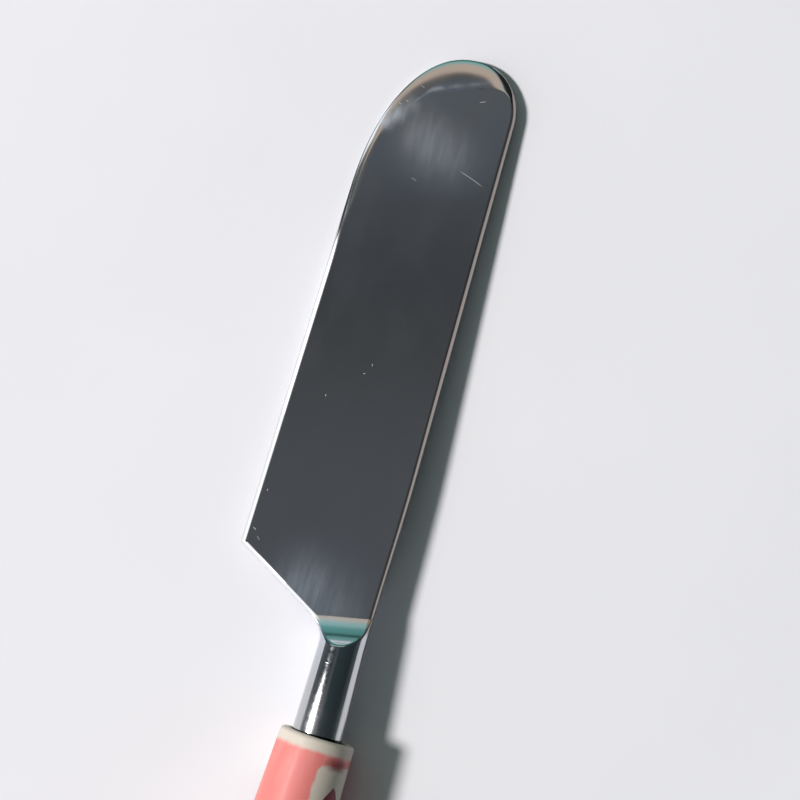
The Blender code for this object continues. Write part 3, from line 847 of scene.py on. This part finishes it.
def polished_steel():
    """Stainless steel, buffed along its length: a dark mirror with faint lines, haze and fine scratches."""
    finish = settings("steel")
    material, set_shader, node = new_material("buffed_stainless_steel")
    place = knife_coordinates(node)
    along, across, _ = node("SeparateXYZ", {0: place}).outputs
    margin = node("Attribute", {}, attribute_name="margin").outputs["Fac"]
    # Buffing lines: 0.12 mm apart across the blade, about 12 mm long. Rub marks: patches of about 8 mm.
    stretched = node("Mapping", {"Vector": place, "Scale": (80.0, 4000.0, 4000.0)})
    lines = node("TexNoise", {"Vector": stretched, "Scale": 1.0, "Detail": 3.0})
    stretched = node("Mapping", {"Vector": place, "Scale": (90.0, 170.0, 170.0)})
    rubs = node("TexNoise", {"Vector": stretched, "Scale": 1.0, "Detail": 4.0})
    speckle = node("TexNoise", {"Vector": place, "Scale": 1500.0, "Detail": 2.0})
    base = node("MapRange", {0: rubs, 1: 0.35, 2: 0.8, 3: finish.polish, 4: finish.polish + 0.035}, **SOFT)
    # Rubbed patches, mottled by wiping strokes 0.6 mm wide and 5 mm long.
    patches = patch_cover(node, along, across, HAZE_PATCHES)
    strokes = node("Mapping", {"Vector": place, "Scale": (200.0, 1700.0, 1700.0)})
    mottle = node("TexNoise", {"Vector": strokes, "Scale": 1.0, "Detail": 3.0})
    mottle = node("MapRange", {0: mottle, 1: 0.3, 2: 0.7, 3: 0.8, 4: 1.0}, **SOFT)
    patches = node("Math", {0: patches, 1: mottle}, operation="MULTIPLY")
    hazy = node("MapRange", {0: patches, 3: 0.0, 4: finish.haze - finish.polish}, clamp=False)
    rough = node("Math", {0: base, 1: hazy}, operation="ADD")
    # A soft, wandering and broken line where the tip's dished margin starts.
    x, y, *slopes = TIP_LINE
    ends = [
        node("Math", {0: across, 1: -slope, 2: x * MM + slope * y * MM}, operation="MULTIPLY_ADD")
        for slope in slopes
    ]
    line = node("Math", {0: ends[0], 1: ends[1], 2: 1.2 * MM}, operation="SMOOTH_MIN")
    off = node("Math", {0: along, 1: line}, operation="SUBTRACT")
    wander = node("TexNoise", {"Vector": place, "Scale": 260.0, "Detail": 4.0})
    wander = node("MapRange", {0: wander, 3: -0.3 * MM, 4: 0.3 * MM})
    off = node("Math", {0: off, 1: wander}, operation="ADD")
    off = node("Math", {0: off}, operation="ABSOLUTE")
    on_line = node("MapRange", {0: off, 1: 1.0 * MM, 2: 0.0}, **SOFT)
    broken = node("TexNoise", {"Vector": place, "Scale": 420.0, "Detail": 3.0})
    broken = node("MapRange", {0: broken, 1: 0.3, 2: 0.6, 3: 0.6, 4: 1.0}, **SOFT)
    fades = (
        broken,
        node("MapRange", {0: across, 1: -3.5 * MM, 2: 9.0 * MM, 3: 0.55, 4: 1.0}, **SOFT),
        node("MapRange", {0: margin, 1: 0.9 * MM, 2: 2.2 * MM}, **SOFT),
        node("MapRange", {0: along, 1: 84.5 * MM, 2: 87.0 * MM}, **SOFT),
    )
    for fade in fades:
        on_line = node("Math", {0: on_line, 1: fade}, operation="MULTIPLY")
    line_haze = node("MapRange", {0: on_line, 3: 0.0, 4: finish.tip_line})
    rough = node("Math", {0: rough, 1: line_haze}, operation="MAXIMUM")
    patches = node("Math", {0: patches, 1: on_line}, operation="MAXIMUM")
    # The neck is finely polished by the scoop and duller towards the mouth, where water stands.
    values = {0: along, 1: 10.0 * MM, 2: 2.0 * MM, 3: finish.neck, 4: finish.neck_mouth}
    dull = node("MapRange", values, **SOFT)
    uneven = node("MapRange", {0: speckle, 1: 0.3, 2: 0.65, 3: -0.015, 4: 0.02}, **SOFT)
    dull = node("Math", {0: uneven, 1: dull}, operation="ADD")
    on_neck = node("MapRange", {0: along, 1: 13.9 * MM, 2: 13.6 * MM}, **SOFT)
    rough = node("Mix", {0: on_neck, 2: rough, 3: dull}, data_type="FLOAT")
    # The heel and the cutting edge are matt and whiter where they were ground.
    ground = node("MapRange", {0: margin, 1: 0.95 * MM, 2: 0.5 * MM}, **SOFT)
    for value, start, end in ((across, 3.0, 4.5), (along, 75.0, 65.0), (along, 15.5, 16.5)):
        part = node("MapRange", {0: value, 1: start * MM, 2: end * MM}, **SOFT)
        ground = node("Math", {0: ground, 1: part}, operation="MULTIPLY")
    matt = node("MapRange", {0: ground, 3: 0.0, 4: finish.ground})
    rough = node("Math", {0: rough, 1: matt}, operation="MAXIMUM")
    # The spine is left duller and a little darker.
    spine = node("MapRange", {0: margin, 1: 0.75 * MM, 2: 0.6 * MM}, **SOFT)
    for value, start, end in ((across, 0.5, -0.5), (along, 15.5, 16.5)):
        part = node("MapRange", {0: value, 1: start * MM, 2: end * MM}, **SOFT)
        spine = node("Math", {0: spine, 1: part}, operation="MULTIPLY")
    marks = scratch_cover(node, place)
    marks = node("MapRange", {0: marks, 3: 0.0, 4: finish.scratch})
    rough = node("Math", {0: rough, 1: marks}, operation="MAXIMUM")
    rough = node("Math", {0: speckle, 1: 0.02, 2: rough}, operation="MULTIPLY_ADD")
    # Painted shade: the steel turns near black in a ring where it enters the ceramic, standing in for the
    # shadow in the gap.
    tint, haze_tint, ground_tint, mouth_shade = (
        (*value, 1.0) for value in (finish.tint, finish.haze_tint, finish.ground_tint, finish.mouth_shade)
    )
    tone = node("Mix", {0: patches, 6: tint, 7: haze_tint}, data_type="RGBA")
    tone = node("Mix", {0: ground, 6: tone, 7: ground_tint}, data_type="RGBA")
    tone = node("Mix", {0: spine, 6: tone, 7: (*finish.spine_tint, 1.0)}, data_type="RGBA")
    # Painted shade ring: the steel's colour goes dark within 0.3 mm of the handle's mouth.
    at_mouth = node("MapRange", {0: along, 1: 0.3 * MM, 2: 0.12 * MM}, **SOFT)
    tone = node("Mix", {0: at_mouth, 6: tone, 7: mouth_shade}, data_type="RGBA")
    bump = node("Bump", {"Height": lines, "Strength": finish.grain, "Distance": 0.02 * MM})
    set_shader({"Base Color": tone, "Metallic": 1.0, "Roughness": rough, "Normal": bump})
    return material


def painted_ceramic():
    """Slip-painted earthenware under a thin clear glaze: satin, with soft highlights and uneven colour."""
    paint = settings("paint")
    material, set_shader, node = new_material("glazed_painted_earthenware")
    place = knife_coordinates(node)
    # Brush edges wander by about 0.3 mm over 1.5 mm.
    wander = node("TexNoise", {"Vector": place, "Scale": 650.0, "Detail": 3.0})
    wander = node("Math", {0: wander, 1: 0.5}, operation="SUBTRACT")
    broad = node("TexNoise", {"Vector": place, "Scale": 160.0, "Detail": 2.0})

    def inside(attribute, level, soft, wobble):
        """0 before the level, 1 past it, over a soft width in metres, moved by the wander."""
        value = node("Attribute", {}, attribute_name=attribute).outputs["Fac"]
        moved = node("Math", {0: wander, 1: wobble, 2: value}, operation="MULTIPLY_ADD")
        values = {0: moved, 1: level - soft, 2: level + soft}
        return node("MapRange", values, **SOFT)

    cream, ground, crimson, maroon = (
        (*value, 1.0) for value in (paint.cream, paint.ground, paint.crimson, paint.maroon)
    )
    thin = tuple(a * 0.45 + b * 0.55 for a, b in zip(ground, cream))
    # Pink slip lies thicker and thinner in brush-wide streaks along the handle.
    streaks = node("Mapping", {"Vector": place, "Scale": (90.0, 420.0, 420.0)})
    streaks = node("TexNoise", {"Vector": streaks, "Scale": 1.0, "Detail": 3.0})
    thinness = node("MapRange", {0: streaks, 1: 0.5, 2: 0.85, 3: 0.0, 4: 0.5})
    painted = node("Mix", {0: thinness, 6: ground, 7: thin}, data_type="RGBA")
    past_rim = inside("below_mouth", paint.rim_band, 0.45 * MM, 1.2 * MM)
    painted = node("Mix", {0: past_rim, 6: cream, 7: painted}, data_type="RGBA")
    in_petal = inside("cream_in", 0.0, 0.25 * MM, 0.9 * MM)
    painted = node("Mix", {0: in_petal, 6: painted, 7: cream}, data_type="RGBA")
    in_touch = inside("maroon_in", 0.25 * MM, 0.5 * MM, 0.9 * MM)
    in_touch = node("Math", {0: in_touch, 1: 0.9}, operation="MULTIPLY")
    painted = node("Mix", {0: in_touch, 6: painted, 7: maroon}, data_type="RGBA")
    in_stroke = inside("crimson_in", 0.0, 0.1 * MM, 0.5 * MM)
    painted = node("Mix", {0: in_stroke, 6: painted, 7: crimson}, data_type="RGBA")
    bump = node("Bump", {"Height": broad, "Strength": 0.35, "Distance": 0.15 * MM})
    set_shader({"Base Color": painted, "Normal": bump, "Roughness": paint.body_roughness})
    set_shader({"Coat Weight": paint.glaze, "Coat Roughness": paint.glaze_roughness})
    set_shader({"Coat IOR": 1.5, "Coat Normal": bump})
    return material


def grey_cement():
    """Cement, cast rough and matt, with sand grains of about 0.3 mm."""
    material, set_shader, node = new_material("cast_cement")
    sand = node("TexNoise", {"Vector": knife_coordinates(node), "Scale": 2500.0, "Detail": 4.0})
    tone = node("ValToRGB", {0: sand}, [(0.3, linear("#7C7872")), (0.7, linear("#A9A49B"))])
    bump = node("Bump", {"Height": sand, "Distance": 0.1 * MM})
    set_shader({"Base Color": tone, "Roughness": 0.9, "Normal": bump})
    return material


def matt_floor():
    """Matt painted plaster, with a barely uneven tone over 40 mm."""
    material, set_shader, node = new_material("matt_plaster")
    where = node("TexCoord", {}).outputs["Object"]
    cloud = node("TexNoise", {"Vector": where, "Scale": 25.0, "Detail": 3.0})
    tone = tuple(settings("studio").floor)
    tone = node("ValToRGB", {0: cloud}, [(0.3, tuple(v * 0.97 for v in tone)), (0.7, tone)])
    set_shader({"Base Color": tone, "Roughness": 0.85, "Specular IOR Level": 0.2})
    return material


# Colours of the dim room towards the picture's top, by degrees from straight up. Between 5 and 18 degrees
# they set what the blade's face mirrors from its heel to its tip, and past that, the scoop and the tip.
ROOM_AHEAD = (
    (-90, "#86908F"),
    (-45, "#6F7878"),
    (-12, "#5C6166"),
    (-2, "#5A5E63"),
    (3, "#5F6368"),
    (5, "#5C5F64"),
    (7, "#585B60"),
    (8.5, "#575A5D"),
    (10.2, "#434549"),
    (11.3, "#45484C"),
    (12.4, "#4F5257"),
    (13.4, "#626B73"),
    (14.3, "#666F77"),
    (15.5, "#5E6165"),
    (17.5, "#5A5B5C"),
    (19, "#D8C3B1"),
    (29, "#D2C3B4"),
    (33, "#A9C9C2"),
    (43, "#9BC4BD"),
    (51, "#66A19A"),
    (66, "#5F9A93"),
    (70, "#2F4A48"),
    (74, "#2F4A48"),
    (78, "#6FA8A0"),
    (90, "#84A5A0"),
)
# And its colours from the picture's right (-90) to its left.
ROOM_ASIDE = (
    (-90, "#7A8284"),
    (-72, "#4A5254"),
    (-58, "#2C3436"),
    (0, "#364346"),
    (20, "#364346"),
    (50, "#34383B"),
    (70, "#5C6366"),
    (90, "#7A8284"),
)
# Degrees to the left between which the bands ahead give way to those aside: on the left, then the right.
NEAR_WINDOW = ((17.0, 24.0), (9.0, 4.0))
FAR_WINDOW = ((25.0, 33.0), (-5.0, -14.0))
# Pale cards: degrees from straight up ahead, from and to, and to the left, from and to.
CARDS = (((23.0, 33.0), (30.0, 47.0)), ((-52.0, -12.0), (36.0, 70.0)))
CARD_SOFTNESS = 2.0


class KNIFE_OT_blank(bpy.types.Operator):
    """Make the steel blank: blade, scooped shoulder, neck and tang as one closed surface"""

    bl_idname = "knife.blank"
    bl_label = "Steel Blank"

    def execute(self, context):
        plan = BladePlan(settings("blade"), settings("shank"))
        flat, height, margin = blank_rings(plan)
        upper = np.concatenate([flat, height[..., None]], axis=2)
        lower = upper[:, -2:0:-1] * (1, 1, -1)
        grid = np.concatenate([upper, lower], axis=1)
        rows, columns = grid.shape[:2]
        points = placed(grid.reshape(-1, 3))
        margins = np.concatenate([margin, margin[:, -2:0:-1]], axis=1)
        layers = {"margin": margins.ravel()}
        mesh = closed_mesh("steel_blank", points, grid_faces(rows, columns, True), layers)
        mesh.set_sharp_from_angle(angle=SHARP)
        piece = add_piece("steel_blank", mesh, "knife_blank", polished_steel())
        check_against_solid(piece, "knife_blank")
        return {"FINISHED"}


class KNIFE_OT_handle(bpy.types.Operator):
    """Make the hollow ceramic handle with its painted pattern"""

    bl_idname = "knife.handle"
    bl_label = "Painted Handle"

    def execute(self, context):
        handle, paint = settings("handle"), settings("paint")
        radius, depth, outside = handle_profile(handle)
        turn = np.linspace(0, 2 * math.pi, 192, endpoint=False)
        depths, turns = np.meshgrid(depth, turn, indexing="ij")
        dip = hand_shaped(depths, turns, handle.unevenness) * outside[:, None]
        radii = np.where(radius[:, None] > 2 * dip, radius[:, None] - dip, radius[:, None])
        mouth, axis, across, up = handle_axes(handle)
        points = mouth - depths[..., None] * axis
        outwards = np.cos(turns)[..., None] * up - np.sin(turns)[..., None] * across
        points = points + radii[..., None] * outwards
        layers = {"below_mouth": depths, **painted_pattern(handle, paint, depths, turns)}
        shown = outside[:, None] > 0
        layers = {key: np.where(shown, value, -1.0).ravel() for key, value in layers.items()}
        points, faces = placed(points.reshape(-1, 3)), grid_faces(*depths.shape, True)
        mesh = closed_mesh("painted_handle", points, faces, layers)
        material = painted_ceramic()
        piece = add_piece("painted_handle", mesh, "ceramic_handle", material)
        check_against_solid(piece, "ceramic_handle")
        return {"FINISHED"}


class KNIFE_OT_cement(bpy.types.Operator):
    """Give the cement core inside the handle its finish"""

    bl_idname = "knife.cement"
    bl_label = "Cement Core"

    def execute(self, context):
        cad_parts["cement_core"].material_slots[0].material = grey_cement()
        return {"FINISHED"}


class KNIFE_OT_studio(bpy.types.Operator):
    """Set up the floor, the key light, the surroundings and the camera"""

    bl_idname = "knife.studio"
    bl_label = "Studio"

    def execute(self, context):
        studio = settings("studio")
        up = Vector(placed_direction(math.cos(studio.roll), math.sin(studio.roll)))
        left = Vector((-up.y, up.x, 0.0))
        target = Vector(placed(np.array([[studio.aim_along, studio.aim_across, 0.0]]))[0])
        self.camera(studio, up, target)
        self.floor(studio)
        self.key(studio, up, left, target)
        self.surroundings(studio, up, left)
        context.scene.view_settings.view_transform = "Standard"
        return {"FINISHED"}

    def camera(self, studio, up, target):
        data = bpy.data.cameras.new("camera")
        data.lens = studio.lens
        camera = bpy.data.objects.new("camera", data)
        bpy.context.scene.collection.objects.link(camera)
        back = Vector((0.0, 0.0, 1.0))
        right = up.cross(back)
        camera.matrix_world = Matrix.Translation(target + back * studio.distance) @ Matrix(
            (right, up, back)
        ).transposed().to_4x4()
        data.clip_start, data.clip_end = 0.05, 50.0
        bpy.context.scene.camera = camera

    def floor(self, studio):
        half = studio.floor_size / 2
        mesh = bpy.data.meshes.new("floor")
        corners = [(-half, -half, 0), (half, -half, 0), (half, half, 0), (-half, half, 0)]
        mesh.from_pydata(corners, [], [(0, 1, 2, 3)])
        floor = bpy.data.objects.new("floor", mesh)
        bpy.context.scene.collection.objects.link(floor)
        mesh.materials.append(matt_floor())

    def key(self, studio, up, left, target):
        flat = left * math.cos(studio.key_turn) + up * math.sin(studio.key_turn)
        towards = flat * math.cos(studio.key_height) + Vector((0, 0, 1)) * math.sin(studio.key_height)
        data = bpy.data.lights.new("key", "AREA")
        data.shape = "DISK"
        data.size = studio.key_size
        data.energy = studio.key_power
        data.color = studio.key_colour
        light = bpy.data.objects.new("key", data)
        bpy.context.scene.collection.objects.link(light)
        turn = towards.to_track_quat("Z", "Y")
        place = Matrix.Translation(target + towards * studio.key_distance)
        light.matrix_world = place @ turn.to_matrix().to_4x4()

    def surroundings(self, studio, up, left):
        """A dim room of colour bands round the zenith, two pale cards, and a plain backdrop.

        The bands are fitted to what the steel should mirror towards the main camera, so the room isn't
        a plain light. The camera itself sees only the backdrop.
        """
        world = bpy.data.worlds.new("studio_room")
        world.use_nodes = True
        bpy.context.scene.world = world
        tree = world.node_tree
        node = partial(add, tree)
        direction = node("TexCoord", {}).outputs["Generated"]

        def lean(vector):
            """Angle from straight up towards a level vector, in degrees."""
            sine = node("VectorMath", {0: direction, 1: tuple(vector)}, operation="DOT_PRODUCT")
            turned = node("Math", {0: sine.outputs["Value"]}, operation="ARCSINE")
            return node("Math", {0: turned}, operation="DEGREES")

        def bands(value, stops):
            place = node("MapRange", {0: value, 1: -90.0, 2: 90.0})
            stops = [(0.5 + turn / 180, linear(code)) for turn, code in stops]
            return node("ValToRGB", {0: place}, stops)

        forward, sideways = lean(up), lean(left)
        # Away from these angles to the left, the bands run sideways. Low down, they do so sooner, since
        # the blade's face mirrors only a narrow window there, 9 to 17 degrees to the left.
        outside = []
        for on_left, on_right in (NEAR_WINDOW, FAR_WINDOW):
            past = [
                node("MapRange", {0: sideways, 1: start, 2: end}, **SOFT)
                for start, end in (on_left, on_right)
            ]
            outside.append(node("Math", dict(enumerate(past)), operation="MAXIMUM"))
        beside, far = outside
        low = node("MapRange", {0: forward, 1: 17.0, 2: 15.0}, **SOFT)
        beside = node("Math", {0: beside, 1: low}, operation="MULTIPLY")
        aside = node("Math", {0: beside, 1: far}, operation="MAXIMUM")
        colours = {0: aside, 6: bands(forward, ROOM_AHEAD), 7: bands(sideways, ROOM_ASIDE)}
        colour = node("Mix", colours, data_type="RGBA")
        # Two pale cards on the left: one high, past the tip's side, and one low, on the handle's side.
        cards = 0.0
        for ahead, leftwards in CARDS:
            card = 1.0
            for value, ends in ((forward, ahead), (sideways, leftwards)):
                for edge, soft in zip(ends, (CARD_SOFTNESS, -CARD_SOFTNESS)):
                    part = node("MapRange", {0: value, 1: edge - soft, 2: edge + soft}, **SOFT)
                    card = node("Math", {0: part, 1: card}, operation="MULTIPLY")
            cards = node("Math", {0: card, 1: cards}, operation="MAXIMUM")
        values = {0: cards, 6: colour, 7: (*studio.card_colour, 1.0)}
        colour = node("Mix", values, data_type="RGBA")
        strength = node("MapRange", {0: cards, 3: 1.0, 4: studio.card_strength})
        room = node("Background", {"Color": colour, "Strength": strength})
        backdrop = node("Background", {"Color": (*studio.backdrop, 1.0)})
        seen = node("LightPath", {}).outputs["Is Camera Ray"]
        shown = node("MixShader", {0: seen, 1: room, 2: backdrop})
        fill(tree, tree.nodes["World Output"], {"Surface": shown})


def placed_direction(along, across):
    """A direction in the knife's plan, as a unit vector level with the floor."""
    turned = rest_placement().to_3x3() @ Vector((along, across, 0.0))
    turned.z = 0.0
    return turned.normalized()


class KNIFE_PT_finish(bpy.types.Panel):
    """Lists the pieces and their sizes"""

    bl_label = "Table Knife"
    bl_idname = "KNIFE_PT_finish"
    bl_space_type = "VIEW_3D"
    bl_region_type = "UI"
    bl_category = "Knife"

    def draw(self, context):
        for operator in OPERATORS:
            self.layout.operator(operator.bl_idname)
        for name, group in GROUPS.items():
            box = self.layout.box()
            box.label(text=group.__doc__)
            for field in group.__annotations__:
                box.prop(settings(name), field)


GROUPS = {
    "blade": BladeSizes,
    "shank": ShankSizes,
    "handle": HandleSizes,
    "paint": PaintDesign,
    "steel": SteelFinish,
    "studio": StudioSetup,
}
OPERATORS = (KNIFE_OT_blank, KNIFE_OT_handle, KNIFE_OT_cement, KNIFE_OT_studio)
CLASSES = (*GROUPS.values(), *OPERATORS, KNIFE_PT_finish)


def register():
    for cls in CLASSES:
        bpy.utils.register_class(cls)
    for name, group in GROUPS.items():
        setattr(bpy.types.Scene, f"knife_{name}", PointerProperty(type=group))


def unregister():
    for name in GROUPS:
        delattr(bpy.types.Scene, f"knife_{name}")
    for cls in reversed(CLASSES):
        bpy.utils.unregister_class(cls)


def main():
    register()
    bpy.ops.knife.blank()
    bpy.ops.knife.handle()
    bpy.ops.knife.cement()
    bpy.ops.knife.studio()


if __name__ == "__main__":
    main()
